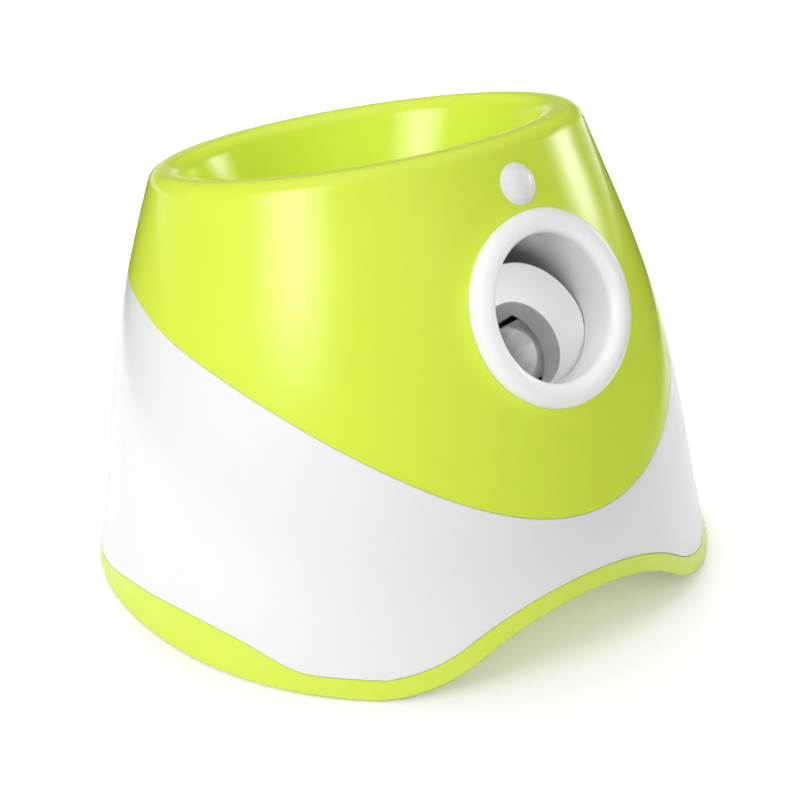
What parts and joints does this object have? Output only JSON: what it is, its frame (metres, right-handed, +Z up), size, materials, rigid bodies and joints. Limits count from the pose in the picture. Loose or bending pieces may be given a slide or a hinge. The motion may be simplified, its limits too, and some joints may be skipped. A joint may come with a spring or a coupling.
{
  "type": "automatic dog ball launcher",
  "caption": "Automatic ball launcher for small dogs: a sloping oval case with a hopper bowl on top, a round nozzle in front, spinning launch wheels and a turning ball feeder inside.",
  "frame": {"origin": "centre of the bounding box on the ground plane that the rubber feet stand on", "axes": "-Y towards the nozzle, +Z up, +X to the right of someone who looks along +Y at the nozzle"},
  "size_m": [0.3, 0.2888, 0.2209],
  "materials": {
    "lime_gloss": "glossy moulded lime green plastic",
    "white_gloss": "glossy moulded white plastic",
    "white_tube": "satin white plastic tube",
    "lens_white": "milky white lens",
    "panel_grey": "satin light grey plastic",
    "button_white": "satin white plastic",
    "steel": "plain steel",
    "circuit_green": "green circuit board",
    "lamp_clear": "clear lamp",
    "black_plastic": "black plastic",
    "chassis_grey": "dark grey moulded plastic",
    "bush_brass": "plain brass",
    "motor_can": "zinc plated can",
    "wheel_black": "black moulded plastic",
    "tread_white": "pale soft rubber",
    "feeder_grey": "grey moulded plastic",
    "gear_white": "natural nylon",
    "cell_wrap": "wrapped cell",
    "foot_rubber": "black rubber"
  },
  "bodies": {
    "case": {"top_cover": "lime_gloss", "hopper_bowl": "lime_gloss", "base_tray": "lime_gloss", "white_body": "white_gloss", "nozzle_ring": "white_gloss", "launch_barrel": "white_tube", "feed_chute": "white_tube", "sensor_lens": "lens_white", "control_panel": "panel_grey", "button_spring": "steel", "panel_board": "circuit_green", "sensor_board": "circuit_green", "main_board": "circuit_green", "indicator_light_1": "lamp_clear", "indicator_light_2": "lamp_clear", "dc_inlet": "black_plastic", "buzzer": "black_plastic", "chassis": "chassis_grey", "gear_plate": "chassis_grey", "left_bush": "bush_brass", "right_bush": "bush_brass", "left_motor": "motor_can", "right_motor": "motor_can", "gearmotor": "motor_can", "left_motor_screw": "steel", "right_motor_screw": "steel", "front_chassis_screw": "steel", "back_chassis_screw": "steel", "battery_cell_1_1": "cell_wrap", "battery_cell_1_2": "cell_wrap", "battery_cell_1_3": "cell_wrap", "battery_cell_2_1": "cell_wrap", "battery_cell_2_2": "cell_wrap", "battery_cell_2_3": "cell_wrap", "left_battery_contact_1": "steel", "left_battery_contact_2": "steel", "right_battery_contact_1": "steel", "right_battery_contact_2": "steel", "front_left_foot": "foot_rubber", "front_left_case_screw": "steel", "front_right_foot": "foot_rubber", "front_right_case_screw": "steel", "back_left_foot": "foot_rubber", "back_left_case_screw": "steel", "back_right_foot": "foot_rubber", "back_right_case_screw": "steel"},
    "left_wheel": {"left_flywheel": "wheel_black", "left_tread": "tread_white", "left_motor_shaft": "steel"},
    "right_wheel": {"right_flywheel": "wheel_black", "right_tread": "tread_white", "right_motor_shaft": "steel"},
    "feeder": {"ball_feeder": "feeder_grey", "feeder_axle": "steel", "feeder_gear": "gear_white", "axle_clip": "steel"},
    "pinion": {"drive_pinion": "bush_brass", "gearmotor_shaft": "steel"},
    "button": {"power_button": "button_white"},
    "door": {"battery_door": "lime_gloss"}
  },
  "joints": [
    {"name": "left_flywheel_spin", "type": "hinge", "parent": "case", "child": "left_wheel", "pos_m": [-0.045, -0.05958, 0.10917], "axis": [0, 0.6388, 0.7694], "continuous": true},
    {"name": "right_flywheel_spin", "type": "hinge", "parent": "case", "child": "right_wheel", "pos_m": [0.045, -0.05958, 0.10917], "axis": [0, 0.6388, 0.7694], "continuous": true},
    {"name": "feeder_turn", "type": "hinge", "parent": "case", "child": "feeder", "pos_m": [0, -0.0354, 0.0475], "axis": [1, 0, 0], "continuous": true},
    {"name": "pinion_turn", "type": "hinge", "parent": "case", "child": "pinion", "pos_m": [0.032, -0.03002, 0.02741], "axis": [1, 0, 0], "continuous": true},
    {"name": "power_button_press", "type": "slide", "parent": "case", "child": "button", "axis": [0, -0.9898, -0.1426], "range_m": [0, 0.002], "stiffness_N_per_m": 400, "springref_m": -0.001, "deforming": ["button_spring"]},
    {"name": "battery_door_slide", "type": "slide", "parent": "case", "child": "door", "axis": [0, 1, 0], "range_m": [0, 0.012]}
  ],
  "couplings": [
    {"joint": "pinion_turn", "follows": "feeder_turn", "ratio": -3.3333}
  ]
}
